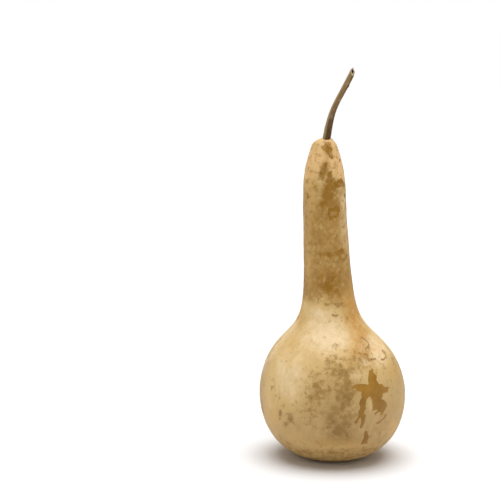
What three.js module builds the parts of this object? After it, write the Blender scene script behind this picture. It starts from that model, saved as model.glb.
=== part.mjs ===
// Dried bottle gourd: a ripe gourd dried whole until its rind is a light woody shell, with its dry stalk on.
// It stands on the small flat of its blossom end. Units are millimetres and +Z is up.
// The origin is on the surface that it stands on, under the middle of its box, and its front faces -Y.

import * as THREE from "three";

const { degToRad, smoothstep } = THREE.MathUtils;

// Key rings of the round outline, from the foot up. The slope is in degrees from upright towards the axis,
// and before and after are how far the outline runs straight on each side of the ring.
const foot = { radius: 20, height: 0, slope: -90, before: 0, after: 24 };
const widest = { radius: 72.3, height: 62.5, slope: 0, before: 41, after: 44.5 };
const shoulder = { radius: 34, height: 136, slope: 32.5, before: 17.5, after: 10 };
const neck = { radius: 22.8, height: 195, slope: 1.7, before: 40.5, after: 28.5 };
const head = { radius: 20.9, height: 266, slope: 0.5, before: 20.5, after: 15 };
const brow = { radius: 12, height: 309.3, slope: 21, before: 10.3, after: 3.2 };
const crown = { radius: 5, height: 315.6, slope: 70, before: 1, after: 0 };
const keyRings = [foot, widest, shoulder, neck, head, brow, crown];

// The blossom scar is a dimple in the foot, and the socket is the hollow that the stalk grows out of
const scar = { radius: 7, depth: 1.2 };
const socket = { radius: 4.6, depth: 4.3 };

// The body leans to one side as it rises, and the socket sits off the middle of the crown
const bodyLean = { shift: -9.8, from: 42, to: 298 };
const socketOffset = { shift: 2, near: 4.6, far: 9.5 };

// A cheek on the far side is pressed a little flat, where the gourd lay while it grew
const cheek = { angle: 70, height: 66, depth: 2.6, reach: 34 };

// Low lumps of the rind: how deep they are, and the heights between which they fade in and out
const lumps = { depth: 0.7, start: 6, full: 45, fade: 270, end: 305 };

// Stalk: where it is rooted in the socket, the bend of its middle line, its thickness and its cut end.
// The cut slopes down towards the right and the front.
const stalk = {
  gap: 0.85,
  rootShift: -0.3,
  firstPull: new THREE.Vector3(5.2, 0, 36.5),
  secondPull: new THREE.Vector3(8, 2, 31.9),
  tip: new THREE.Vector3(25.6, 3, 67.6),
  footRadius: 3.95,
  flare: 55,
  radius: 2.65,
  ridges: 5,
  ridgeDepth: 0.25,
  ridgeStart: 14,
  twist: 35,
  cutSlope: 55,
  cutTurn: -58,
  cutReach: 9,
  pithRadius: 1.1,
  pithDepth: 5,
};

// Fineness of the faceted surfaces
const bodyFacets = { around: 48, perCurve: 9 };
const stalkFacets = { around: 20, along: 22 };

// Direction of the outline at a ring, in radius and height
function direction(ring) {
  const slope = degToRad(ring.slope);
  return new THREE.Vector2(-Math.sin(slope), Math.cos(slope));
}

// Closed outline of the body from the axis at the foot to the axis in the socket
function bodyOutline() {
  const path = new THREE.Path();
  path.moveTo(0, scar.depth);
  path.quadraticCurveTo(scar.radius * 0.6, scar.depth, scar.radius, 0);
  path.lineTo(foot.radius, foot.height);
  for (let index = 1; index < keyRings.length; index += 1) {
    const below = keyRings[index - 1];
    const above = keyRings[index];
    const start = direction(below).multiplyScalar(below.after);
    const finish = direction(above).multiplyScalar(-above.before);
    path.bezierCurveTo(
      below.radius + start.x,
      below.height + start.y,
      above.radius + finish.x,
      above.height + finish.y,
      above.radius,
      above.height,
    );
  }
  path.lineTo(socket.radius, crown.height - 0.2);
  path.lineTo(socket.radius, crown.height - socket.depth);
  path.lineTo(0, crown.height - socket.depth);
  return path.getPoints(bodyFacets.perCurve);
}

// Sideways place of the body's middle at a height and at a radius, which matters only on the crown
function lean(height, radius) {
  const body = bodyLean.shift * smoothstep(height, bodyLean.from, bodyLean.to);
  const onCrown = height > brow.height ? 1 : 0;
  return body + onCrown * socketOffset.shift * (1 - smoothstep(radius, socketOffset.near, socketOffset.far));
}

// How far the rind stands out from the round outline, at an angle from +X and a height
function relief(angle, height) {
  const along = smoothstep(height, lumps.start, lumps.full) * (1 - smoothstep(height, lumps.fade, lumps.end));
  const waves = Math.sin(2 * angle + height / 40) + 0.6 * Math.sin(3 * angle - height / 26 + 1);
  const side = Math.atan2(Math.sin(angle - degToRad(cheek.angle)), Math.cos(angle - degToRad(cheek.angle)));
  const distance = Math.hypot(side * widest.radius, height - cheek.height) / cheek.reach;
  return lumps.depth * along * waves * Math.sin(angle) ** 2 - cheek.depth * Math.exp(-distance * distance);
}

// The body is the round outline, moved out and in by its relief and sideways by its lean
function gourdBody() {
  const geometry = new THREE.LatheGeometry(bodyOutline(), bodyFacets.around);
  geometry.rotateX(Math.PI / 2);
  const points = geometry.attributes.position;
  for (let index = 0; index < points.count; index += 1) {
    const height = points.getZ(index);
    const radius = Math.hypot(points.getX(index), points.getY(index));
    const angle = Math.atan2(points.getY(index), points.getX(index));
    const moved = radius > scar.radius + 0.1 ? radius + relief(angle, height) : radius;
    const shift = lean(height, radius);
    points.setXYZ(index, moved * Math.cos(angle) + shift, moved * Math.sin(angle), height);
  }
  return geometry;
}

// Outline of the stalk laid straight: radius, and distance from its foot
function stalkOutline(length) {
  const outline = [new THREE.Vector2(0, 0)];
  for (let step = 0; step <= stalkFacets.along; step += 1) {
    const distance = (length * step) / stalkFacets.along;
    const flare = (1 - smoothstep(distance, 0, stalk.flare)) ** 2 * (stalk.footRadius - stalk.radius);
    outline.push(new THREE.Vector2(stalk.radius + flare, distance));
  }
  outline.push(new THREE.Vector2(stalk.pithRadius, length));
  outline.push(new THREE.Vector2(stalk.pithRadius * 0.8, length - stalk.pithDepth));
  outline.push(new THREE.Vector2(0, length - stalk.pithDepth));
  return outline;
}

// The stalk is ridged along its length, cut off on the slant with its pith open, and bent along a curve
function gourdStalk() {
  const rootHeight = crown.height - socket.depth + stalk.gap;
  const root = new THREE.Vector3(lean(crown.height, 0) + stalk.rootShift, 0, rootHeight);
  const line = new THREE.CubicBezierCurve3(
    root,
    root.clone().add(stalk.firstPull),
    root.clone().add(stalk.secondPull),
    root.clone().add(stalk.tip),
  );
  const length = line.getLength();
  const geometry = new THREE.LatheGeometry(stalkOutline(length), stalkFacets.around);
  geometry.rotateX(Math.PI / 2);
  const points = geometry.attributes.position;
  const depthAxis = new THREE.Vector3(0, 1, 0);
  for (let index = 0; index < points.count; index += 1) {
    const straight = points.getZ(index);
    const radius = Math.hypot(points.getX(index), points.getY(index));
    const angle = Math.atan2(points.getY(index), points.getX(index));
    const outer = smoothstep(radius, stalk.pithRadius, stalk.radius);
    const ridged = smoothstep(straight, socket.depth, stalk.ridgeStart) * outer;
    const ridge = stalk.ridgeDepth * ridged * Math.cos(stalk.ridges * angle + straight / stalk.twist);
    const reach = radius + ridge;
    const cut = smoothstep(straight, length - stalk.cutReach, length) * Math.tan(degToRad(stalk.cutSlope));
    const distance = straight - reach * Math.cos(angle - degToRad(stalk.cutTurn)) * cut;
    const share = Math.min(Math.max(distance / length, 0), 1);
    const tangent = line.getTangentAt(share);
    const across = new THREE.Vector3().crossVectors(depthAxis, tangent).normalize();
    const deep = new THREE.Vector3().crossVectors(tangent, across);
    const place = line.getPointAt(share);
    place.addScaledVector(tangent, distance - share * length);
    place.addScaledVector(across, reach * Math.cos(angle));
    place.addScaledVector(deep, reach * Math.sin(angle));
    points.setXYZ(index, place.x, place.y, place.z);
  }
  return geometry;
}

function namedMesh(name, geometry, material) {
  geometry.computeVertexNormals();
  const mesh = new THREE.Mesh(geometry, material);
  mesh.name = name;
  return mesh;
}

const rind = new THREE.MeshStandardMaterial({ color: 0xcfa768, roughness: 0.5, metalness: 0 });
const dryStalk = new THREE.MeshStandardMaterial({ color: 0x7d6545, roughness: 0.8, metalness: 0 });

const gourd = new THREE.Group();
gourd.add(namedMesh("gourd_body", gourdBody(), rind));
gourd.add(namedMesh("stalk", gourdStalk(), dryStalk));

// The middle of the whole gourd's box goes over the origin
const middle = new THREE.Box3().setFromObject(gourd).getCenter(new THREE.Vector3());
gourd.position.set(-middle.x, -middle.y, 0);

export default gourd;
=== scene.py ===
"""Dried bottle gourd: its worn and stained rind, its peeling flakes, its dry stalk and a plain studio."""

import math
from collections import namedtuple

import bmesh
import bpy
import numpy as np
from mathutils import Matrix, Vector, geometry, noise
from mathutils.bvhtree import BVHTree


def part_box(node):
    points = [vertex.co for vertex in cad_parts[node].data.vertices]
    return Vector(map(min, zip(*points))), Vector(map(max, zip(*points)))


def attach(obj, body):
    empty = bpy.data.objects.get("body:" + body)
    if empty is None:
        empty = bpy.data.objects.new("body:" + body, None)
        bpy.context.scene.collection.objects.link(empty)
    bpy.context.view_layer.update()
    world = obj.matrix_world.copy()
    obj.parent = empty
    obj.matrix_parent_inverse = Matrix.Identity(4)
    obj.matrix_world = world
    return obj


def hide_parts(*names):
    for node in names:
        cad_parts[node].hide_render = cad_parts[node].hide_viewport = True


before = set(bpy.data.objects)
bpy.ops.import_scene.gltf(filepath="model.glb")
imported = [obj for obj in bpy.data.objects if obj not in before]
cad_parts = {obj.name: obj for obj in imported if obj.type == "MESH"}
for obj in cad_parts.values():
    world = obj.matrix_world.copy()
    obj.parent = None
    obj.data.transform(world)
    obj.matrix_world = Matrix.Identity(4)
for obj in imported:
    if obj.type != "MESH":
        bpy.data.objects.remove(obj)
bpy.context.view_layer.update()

bl_info = {
    "name": "Dried bottle gourd",
    "version": (1, 0, 0),
    "blender": (4, 5, 0),
    "location": "View3D > Sidebar > Gourd",
    "description": "Builds a dried bottle gourd with its stalk, and a plain studio for it",
    "category": "Add Mesh",
}

MM = 0.001
PICTURE_SIDE = 500

# Key rings of the round outline in millimetres, from the foot up. The slope is in degrees from upright
# towards the axis, and before and after are how far the outline runs straight on each side of the ring.
Ring = namedtuple("Ring", "radius height slope before after")
FOOT = Ring(20, 0, -90, 0, 24)
WIDEST = Ring(72.3, 62.5, 0, 41, 44.5)
SHOULDER = Ring(34, 136, 32.5, 17.5, 10)
NECK = Ring(22.8, 195, 1.7, 40.5, 28.5)
HEAD = Ring(20.9, 266, 0.5, 20.5, 15)
BROW = Ring(12, 309.3, 21, 10.3, 3.2)
CROWN = Ring(5, 315.6, 70, 1, 0)
KEY_RINGS = (FOOT, WIDEST, SHOULDER, NECK, HEAD, BROW, CROWN)

# Rings of faces between one key ring and the next, close enough to hold the edges of the markings
RINGS_BETWEEN = (58, 60, 40, 46, 38, 14)
STEPS_AROUND = 288

# Part of the bowl, from the front towards +X, where the faces are half as large
FINE_TURN = (math.radians(7), math.radians(54))
FINE_HEIGHT = (22, 127)

# The blossom scar is a rounded dimple in the foot: the two pulls bend its outline
SCAR_RADIUS = 7
SCAR_DEPTH = 1.2
SCAR_MIDDLE_PULL = Vector((3, 0))
SCAR_EDGE_PULL = Vector((-1.5, 0.4))

# The socket that the stalk grows out of, and the rounded lip of skin round it: distance out from the
# socket's wall, and height over the crown's ring
SOCKET_DEPTH = 4.3
SOCKET_LIP = ((0.55, 0.02), (0.25, -0.15), (0.06, -0.5), (0, -1.2))

# The body leans to one side as it rises: shift, lower and upper height. The socket sits off the middle of
# the crown: shift, and the radii between which it dies out.
BODY_LEAN = (-9.8, 42, 298)
SOCKET_OFFSET = (2, 4.6, 9.5)

# The skin is drawn up the sides of the stalk's foot and dips in front of it and behind it. The reach is the
# radii between which that dies out, and the band is how far down the crown it goes.
COLLAR_RISE = 0.3
COLLAR_DIP = 1.5
COLLAR_REACH = (4, 8)
COLLAR_BAND = 2

# Fine folds drawn in round the stalk: how many go round, how deep they are and where they start
CROWN_FOLDS = ((8, 0.32, 0.6), (15, 0.16, 2.0))
FOLD_RISE = (300, 313)
FOLD_REACH = (4.1, 6)

# The far cheek is pressed a little flat where the gourd lay while it grew
CHEEK_ANGLE = math.radians(70)
CHEEK_HEIGHT = 66
CHEEK_DEPTH = 2.6
CHEEK_REACH = 34
LUMP_DEPTH = 0.7
LUMP_RISE = (6, 45)
LUMP_FALL = (270, 305)

# Slow unevenness, broad and close: its size, its depth, and the heights between which it comes and goes. It
# is read on a cylinder of about the bowl's size.
UNEVEN_BROAD = (26, 0.45)
UNEVEN_CLOSE = (9, 0.2)
UNEVEN_RISE = (1, 20)
UNEVEN_FALL = (300, 314)
UNEVEN_CYLINDER = 60


def smooth_step(value, low, high):
    """Goes smoothly from 0 at low to 1 at high, for a number or an array."""
    share = np.clip((value - low) / (high - low), 0, 1)
    return share * share * (3 - 2 * share)


def lean(height):
    """Sideways place of the gourd's middle line at a height, in millimetres."""
    return BODY_LEAN[0] * smooth_step(height, BODY_LEAN[1], BODY_LEAN[2])


def socket_lean(radius):
    """How much further sideways the crown lies close to the stalk."""
    return SOCKET_OFFSET[0] * (1 - smooth_step(radius, SOCKET_OFFSET[1], SOCKET_OFFSET[2]))


def relief(angle, height):
    """How far the rind stands out from the round outline at an angle from +X and a height."""
    along = smooth_step(height, *LUMP_RISE) * (1 - smooth_step(height, *LUMP_FALL))
    waves = np.sin(2 * angle + height / 40) + 0.6 * np.sin(3 * angle - height / 26 + 1)
    side = np.arctan2(np.sin(angle - CHEEK_ANGLE), np.cos(angle - CHEEK_ANGLE))
    distance = np.hypot(side * WIDEST.radius, height - CHEEK_HEIGHT) / CHEEK_REACH
    return LUMP_DEPTH * along * waves * np.sin(angle) ** 2 - CHEEK_DEPTH * np.exp(-distance * distance)


def linear(code):
    """Turns an sRGB hex colour such as "E3C08A" into linear red, green, blue and alpha."""
    channels = []
    for start in (0, 2, 4):
        value = int(code[start:start + 2], 16) / 255
        channels.append(value / 12.92 if value <= 0.04045 else ((value + 0.055) / 1.055) ** 2.4)
    return (*channels, 1.0)


def colour_setting(name, description, code):
    """A colour that can be changed in the panel, given by its sRGB hex code."""
    return bpy.props.FloatVectorProperty(
        name=name, description=description, default=linear(code), subtype="COLOR", size=4, min=0, max=1
    )


def length_setting(name, description, millimetres):
    """A length that can be changed in the panel, given in millimetres."""
    size = millimetres * MM
    return bpy.props.FloatProperty(name=name, description=description, default=size, unit="LENGTH")


def angle_setting(name, description, degrees):
    """An angle that can be changed in the panel, given in degrees."""
    turn = math.radians(degrees)
    return bpy.props.FloatProperty(name=name, description=description, default=turn, subtype="ANGLE")


class GourdRindSettings(bpy.types.PropertyGroup):
    """Size and colours of the rind."""

    bowl_radius: length_setting("Bowl radius", "Half the width of the bowl", WIDEST.radius)
    neck_radius: length_setting("Neck radius", "Half the width of the neck", NECK.radius)
    pore_depth: length_setting("Pore depth", "Depth of the fine pits in the skin", 0.05)
    skin_depth: length_setting("Skin depth", "How far the skin stands over the bare shell", 0.22)
    skin: colour_setting("Skin", "The dry skin over most of the gourd", "DCBB7D")
    straw: colour_setting("Straw", "The yellower parts of the skin", "D2A964")
    cream: colour_setting("Cream", "The palest skin, on the shoulder", "EED2A3")
    peach: colour_setting("Peach", "The warm pale skin of the crown", "ECC083")
    # Haze also colours the painted shade of the bowl's lower half.
    haze: colour_setting("Haze", "The greyer brown haze under the skin of the bowl", "B3915C")
    tan: colour_setting("Tan", "The browner skin of the neck", "AE8440")
    # Amber also paints shade along the right-hand edge of the neck.
    amber: colour_setting("Amber", "The warm tinge beside the neck", "C8954C")
    umber: colour_setting("Umber", "The dark olive-brown patches of the head and the neck", "98690F")
    shell: colour_setting("Shell", "The bare shell where the skin has worn off", "B0812F")
    shell_edge: colour_setting("Shell edge", "The darker parts of the bare shell", "8A601B")
    # Torn also darkens the line under each flake's edge as painted shadow.
    torn: colour_setting("Torn", "The torn edges of the skin", "9B6C39")
    stain: colour_setting("Stain", "The soft grey-brown stains", "8E6B33")
    mottle: colour_setting("Mottle", "The lace of small smudges", "9C7434")


class GourdStalkSettings(bpy.types.PropertyGroup):
    """Size and colours of the stalk."""

    radius: length_setting("Radius", "Half the thickness of the stalk", 2.65)
    foot_radius: length_setting("Foot radius", "Half the thickness where it leaves the gourd", 3.95)
    bark: colour_setting("Bark", "The grey-brown outside of the stalk", "91754A")
    # Dark bark also paints shade on the stalk's right-hand (+X) side.
    dark_bark_and_shade: colour_setting("Dark bark", "The furrows and the lower third", "4F310B")
    # Pale fibre also paints a highlight on the stalk's left-hand (-X) side.
    pale_fibre_and_highlight: colour_setting("Pale fibre", "The raised dry fibres", "BFA67C")
    cut: colour_setting("Cut", "The wood of the slanting cut", "B3A47C")
    pith: colour_setting("Pith", "The dark hollow pith", "1C120A")


class GourdStageSettings(bpy.types.PropertyGroup):
    """Studio floor, light and camera."""

    floor: colour_setting("Floor", "The plain pale floor", "F4F4F5")
    key_strength: bpy.props.FloatProperty(
        name="Key light", description="Strength of the broad soft light overhead", default=2.95
    )
    key_spread: angle_setting("Key spread", "How broad the overhead light is", 58)
    fill_strength: bpy.props.FloatProperty(
        name="Fill light", description="Strength of the light from all round", default=0.36
    )
    lens: bpy.props.FloatProperty(name="Lens", description="Focal length in millimetres", default=85)
    camera_tilt: angle_setting("Tilt", "How far the camera looks down", 6.5)
    camera_distance: length_setting("Distance", "Depth of the gourd's foot in the view", 1186)


# Markings of the front, each as seen level from a side: across and up, in millimetres.
# The star is the large ragged patch where the skin has come off the bowl.
STAR = (
    (33.8, 99), (35.2, 98.5), (35, 95.6), (37, 93.5), (38.2, 91.3), (37.6, 89.2), (39.2, 86.3), (40, 85),
    (43, 84), (45.2, 82.2), (47.8, 80.6), (51.6, 80.2), (49.6, 78.2), (49.4, 76), (47.6, 75.3),
    (44.2, 75.6), (43.8, 73.2), (41.3, 70.2), (44.8, 69.4), (47.8, 66.3), (48.6, 63.4), (47.5, 61),
    (45.2, 57.5), (43.2, 55.2), (41.6, 54.8), (42.2, 58), (39.6, 60), (38, 61), (33.7, 60.6),
    (33.4, 68.3), (32, 73.6), (30, 75.2), (28.8, 73.2), (27.4, 71), (27.2, 68), (26.2, 66.2),
    (27.8, 63.6), (25.8, 61.6), (25.2, 59), (27.6, 57.2), (26.6, 54), (25.4, 48.8), (24, 47.2),
    (23.7, 44.6), (21.9, 44.2), (21.8, 47.2), (22.8, 52), (21.8, 55.4), (19.9, 54), (18.9, 50.2),
    (16.8, 49.6), (16.6, 51.6), (18.8, 54.6), (20.3, 57.5), (20.3, 61.2), (21.4, 64.8), (20.6, 68),
    (21.4, 70.8), (22.6, 74), (22.6, 79.2), (20.2, 80.2), (16.4, 80.6), (17.2, 82.4), (12.8, 83.8),
    (16.6, 86.4), (21.6, 86.8), (27, 86), (29.8, 86), (29.4, 89), (29.4, 92.6), (30.4, 97.2),
)
STAR_ISLAND = (
    (27, 41), (29.5, 40), (29.4, 37), (31.2, 34.6), (30.3, 31.5), (29.8, 26.5), (26.5, 26.8), (23.2, 26.2),
    (24.6, 31), (26.1, 34), (26.1, 37.4),
)
STAR_CRUMBS = (
    ((37.2, 59), (39.2, 58.6), (38.6, 57), (37, 57.4)),
    ((35.2, 56.8), (36.8, 56.4), (36.2, 55.2), (35.2, 55.4)),
    ((37.2, 48.8), (38.4, 48.6), (38, 47.4)),
)
CROWN_PATCH = (
    (-9, 312.5), (-3.7, 312.5), (-3, 306), (-3.2, 303), (-2.4, 298), (-2.4, 295.6), (-4.4, 296),
    (-6.3, 299), (-8.2, 302.6), (-10.6, 304.2), (-13.8, 306.4), (-14, 308.4), (-11, 309.2),
)
HEAD_PATCH = (
    (-6.8, 284.7), (-3.4, 284.7), (-2.3, 278.8), (-0.4, 278), (0.8, 273.6), (2.6, 276.7), (6.1, 277.5),
    (8, 275), (9.3, 272.3), (12.5, 272), (12.5, 269.3), (8.5, 269.2), (5.8, 270), (3.8, 268.9),
    (0.8, 268.3), (-1.6, 265.3), (-6.1, 266), (-9.9, 266), (-10.3, 269), (-7.6, 273.3), (-10.2, 274.8),
    (-8, 278.4),
)
LOWER_HEAD_PATCH = (
    (-6.5, 249.5), (-1, 249), (0, 252), (4.5, 251), (4.6, 246.5), (3.8, 242), (2.8, 240.2), (-1.5, 239.6),
    (-1.6, 237.6), (-5.5, 237.4), (-6.2, 240), (-7.6, 242), (-7.2, 246),
)
LOWER_HEAD_ISLAND = ((-5.2, 245.8), (1, 245.6), (0.8, 242.6), (-5, 242.4))
NECK_BAND = (
    (-8, 206.4), (1.5, 207.6), (5.5, 209.2), (9.3, 209.4), (9.4, 205.6), (6.5, 203.8), (3.5, 202.2),
    (-1, 203), (-3.5, 201.6), (-7, 202.2), (-8.4, 204.4),
)
NECK_NOTCH = (
    (4.6, 203.6), (6.6, 200.8), (9.4, 199.8), (11.8, 203.4), (13.2, 202.6), (10, 197.4), (6.4, 198.6),
    (3.8, 202),
)
HEAD_CRUMBS = (
    ((-10.5, 292.8), (-7.2, 292.2), (-8.4, 290.4), (-9.6, 287.6), (-10.8, 289.6)),
    ((-15, 285), (-12.4, 284.6), (-11.4, 281.6), (-14.6, 281.2)),
    ((4.2, 296.4), (6.4, 295.6), (5.6, 292.8), (4, 294)),
    ((1, 298.8), (3.2, 297.2), (2, 295.8)),
    ((9.2, 262.2), (11.6, 261.4), (11.4, 257.8), (9.4, 258.4)),
    ((-2.2, 263.2), (0.4, 262), (0.8, 259.8), (-1.6, 260.4)),
    ((-27, 263.6), (-25.6, 263), (-25.8, 258), (-27.2, 258.4)),
)
FRONT_SOFT = (CROWN_PATCH, HEAD_PATCH, LOWER_HEAD_PATCH, NECK_BAND, NECK_NOTCH, *HEAD_CRUMBS)
FRONT_BARE = (STAR, STAR_ISLAND, *STAR_CRUMBS)
FRONT_KEPT = (LOWER_HEAD_ISLAND, ((2.8, 272.6), (4.6, 273), (5.2, 271.2), (3.4, 270.8)))

# Soft tints, each a list of spots: across, up, half width, half height and strength
FRONT_TINTS = {
    "straw": (
        (-66, 84, 8, 22, 0.3), (-54, 112, 10, 10, 0.4), (-24, 104, 8, 5, 0.35), (58, 90, 9, 11, 0.5),
        (-60, 48, 8, 12, 0.6), (0, 25, 50, 6, 0.4), (-40, 34, 10, 10, 0.4), (56, 38, 8, 14, 0.6),
        (-33, 138, 8, 12, 0.9), (-22, 272, 8, 28, 0.8), (11, 238, 8, 44, 0.6), (-25, 200, 4, 50, 0.5),
        (18, 150, 8, 18, 0.6), (24, 126, 12, 10, 0.5),
    ),
    "haze": (
        (4, 50, 32, 28, 0.8), (-12, 74, 22, 24, 0.45), (-42, 38, 16, 12, 0.4), (4, 84, 20, 18, 0.45),
        (-30, 46, 20, 18, 0.3), (56, 64, 18, 34, 0.55), (22, 38, 26, 20, 0.7), (26, 108, 14, 10, 0.4),
        (0, 38, 22, 18, 0.6), (64, 88, 8, 14, 0.45), (44, 46, 14, 16, 0.4), (18, 70, 8, 24, 0.35),
    ),
    "tan": (
        (12, 152, 10, 9, 0.35), (-24, 172, 6, 16, 0.4), (2, 31, 26, 7, 0.5), (19, 190, 4, 24, 0.4),
    ),
    "peach": (
        (-19, 296, 9, 16, 1.0), (-2, 312, 12, 4, 0.9), (3, 294, 9, 14, 1.0), (-27, 279, 5, 10, 0.5),
        (9, 282, 6, 12, 0.6), (40, 114, 10, 9, 0.4),
    ),
    "cream": (
        (-8, 128, 25, 17, 1.0), (-44, 92, 18, 26, 0.65), (40, 113, 10, 11, 0.9), (20, 94, 10, 5, 0.4),
        (-14, 148, 12, 6, 0.6), (-62, 62, 5, 10, 0.3), (16, 63, 3, 8, 0.3), (31, 66, 2.5, 7, 0.4),
        (-14, 311, 4, 3, 0.4), (12, 240, 9, 46, 0.45), (-17, 167, 5, 4, 0.25), (46, 108, 9, 9, 0.6),
        (34, 122, 6, 5, 0.6), (24, 118, 3, 4, 0.6), (28, 105, 5, 2.4, 0.6), (6.5, 257, 3.5, 5, 0.25),
    ),
    "amber": (
        # The spot at 19 across and 184 up lies on the neck's right-hand edge, where it is painted shade.
        (19, 144, 12, 18, 0.7), (19, 184, 5, 20, 0.4), (27, 127, 13, 9, 0.45), (17, 151, 6, 9, 0.5),
        (15, 114, 7, 6, 0.55), (22, 119, 5, 4, 0.5), (27, 111, 6, 4, 0.5), (13, 104, 6, 4, 0.45),
        (35, 103, 5, 3, 0.4), (16, 162, 9, 12, 0.6), (30, 114, 7, 5, 0.4),
    ),
    "umber": (
        (-6, 174, 12, 12, 0.5), (0, 172, 13, 15, 0.35), (-14, 180, 5, 8, 0.3), (2, 187, 11, 8, 0.4),
        (-12.5, 253, 4, 3.4, 0.9), (-4, 262, 8, 8, 0.55), (-5, 272, 5, 10, 0.5), (-13, 205, 7, 3, 0.7),
        (-9, 259, 5, 7, 0.6), (-1, 250, 6, 4, 0.6), (-9, 290, 4, 4, 0.6), (-11, 283, 5, 9, 0.7),
        (3.5, 274, 4, 4, 0.5), (-7, 306, 5, 8, 0.6),
        (4, 198, 7, 3, 0.5), (3, 206, 6, 3, 0.4), (-14, 236, 10, 14, 0.25),
    ),
    "aged": (
        (27, 34, 7, 9, 1.0), (22, 54, 6, 9, 0.7), (24, 70, 4, 8, 0.6), (43, 66, 6, 8, 0.4),
        (38, 80, 7, 4, 0.4),
    ),
    "stain": (
        (3, 72, 4.5, 9, 0.8), (10.5, 76, 5, 8, 0.85), (6, 84, 4, 5, 0.6), (12, 88, 3, 3, 0.6),
        (7, 97, 6, 3, 0.45), (1, 96, 5, 5, 0.45), (2, 103, 5, 3, 0.45), (-5, 99, 4, 3, 0.4),
        (-9, 106, 3, 5, 0.6), (-8, 84, 2.2, 8, 0.55), (-21, 82, 4, 5, 0.55), (-17, 88, 2, 4, 0.45),
        (-20, 95, 4, 3, 0.45), (-24, 72, 5, 6, 0.5), (-25, 62, 4, 4, 0.4), (3, 43, 13, 13, 0.9),
        (-7, 45, 7, 9, 0.3), (-2, 60, 6, 8, 0.5),
        (-12, 60, 7, 6, 0.35), (-34, 75, 2, 5, 0.3), (-44, 52, 2.6, 5, 1.0), (-53, 55, 2, 4, 0.9),
        (-48, 45, 3, 2.4, 0.8), (-30, 16, 6, 3, 0.5), (-5, 18, 8, 2.6, 0.55), (-44, 21, 5, 3, 0.4),
        (15, 20, 7, 3, 0.35), (28, 18, 6, 3, 0.4), (-23, 168, 2, 3, 0.6), (-18, 163, 3, 1.6, 0.6),
        (-22, 159.5, 2.4, 1.6, 0.5), (-15, 300, 3, 2.6, 0.55), (31, 118, 2, 2, 0.5), (22, 105, 5, 4, 0.4),
    ),
    "mottle": (
        (2, 98, 13, 12, 1.0), (6, 82, 12, 12, 0.9), (20, 108, 13, 11, 0.95), (34, 112, 8, 7, 0.4),
        (-20, 82, 13, 17, 0.8), (-28, 60, 16, 14, 0.5), (-45, 52, 12, 12, 0.5), (8, 58, 16, 18, 0.8),
        (46, 100, 9, 8, 0.3), (-5, 109, 9, 5, 0.8), (56, 90, 10, 12, 0.25), (-1, 120, 6, 5, 0.6),
        (-60, 76, 10, 14, 0.35), (42, 38, 16, 14, 0.4), (-2, 257, 6, 12, 0.8), (-11, 282, 6, 10, 1.0),
        (-4, 268, 9, 8, 0.5), (5, 200, 9, 7, 0.6), (10, 143, 5, 4, 0.8), (-1, 155, 16, 4, 0.7),
        (-8, 190, 14, 8, 0.5), (-20, 164, 7, 7, 0.5), (-6, 215, 18, 14, 0.35),
    ),
}

# Peeling flakes of the front: the torn edge that each lifts along, how far it reaches back from that edge
# and how high the edge stands
PEELS = (
    (((25.2, 125), (28.4, 122.8), (31.4, 119.8), (31, 117.6), (28.8, 116.2)), 2.6, 0.5),
    (((46, 111.4), (48.4, 108.4), (48.8, 105.8), (46.6, 104.6), (44.2, 105)), 2.6, 0.55),
    (((33.4, 106.6), (35.4, 106.4), (37.4, 106.6)), 1.6, 0.3),
    (((27.2, 111.6), (28.6, 110.6), (30, 110.4)), 1.5, 0.35),
    (((-2.4, 146.4), (-0.2, 145.4), (2.2, 145.6)), 1.2, 0.35),
    (((56.2, 102.8), (57.6, 100.4), (57.8, 98.2)), 1.3, 0.4),
    (((39.2, 47.6), (41.5, 48.1), (43.8, 49.5), (46, 51.6), (47.8, 54)), 1.6, 0.4),
    (((36.2, 57.2), (38.4, 58.6), (41, 59.2)), 1.2, 0.35),
)

# How thick a flake is, and how deep its back edge lies in the rind
PEEL_THICKNESS = 0.26
PEEL_BURIED = 0.3

# A flake narrows to its two ends: the least of it that is left there, and how late it narrows
PEEL_END = 0.1
PEEL_TAPER = 0.6

# Half the width of the torn line that the rind shows under each flake's edge, partly torn skin and partly
# painted shadow under the flake
TORN_AND_SHADOW_HALF_WIDTH = 0.8

# The neck is browner than the bowl all round: how much, the heights between which that comes and goes, and
# how much of it goes
NECK_TAN = 0.72
NECK_MOTTLE = 0.4
NECK_TAN_RISE = (148, 168)
NECK_TAN_FALL = (256, 286)
NECK_TAN_LOSS = 0.9

# Painted shade darkens the bowl's lower half in the haze colour and gives way along the foot's rim as a
# painted reflection of the floor, and a band round the foot is mottled
LOW_SHADE = 0.75
LOW_SHADE_RISE = (2, 18)
LOW_SHADE_FALL = (14, 72)
LOW_MOTTLE = 0.8
LOW_BAND = (12, 36)

# Distance, in millimetres, that the rind has from patches where there are none
FAR_FROM_PATCH = 8.0

# How squarely the rind has to face a side to be marked from it: where the marks start and where they are
# full. The last pair is for how squarely it faces the front, where the other sides' marks give way.
PATCH_FACING = (0.05, 0.2)
TINT_FACING = (0.0, 0.35)
FRONT_FACING = (0.1, 0.45)

# Ragged patches of the other sides: corners, shares of the size that these reach out to, and the stretch
# along the patch and across it
PATCH_CORNERS = 16
PATCH_REACH = (0.35, 1.1)
PATCH_STRETCH = (1.5, 0.8)

# Sides that get patches of their own, as angles from the front, with a seed for each
OTHER_SIDES = ((88, 11), (142, 23), (196, 37), (248, 41), (296, 59))


def ring_direction(ring):
    """Direction of the outline at a key ring, as radius and height."""
    slope = math.radians(ring.slope)
    return Vector((-math.sin(slope), math.cos(slope)))


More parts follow.
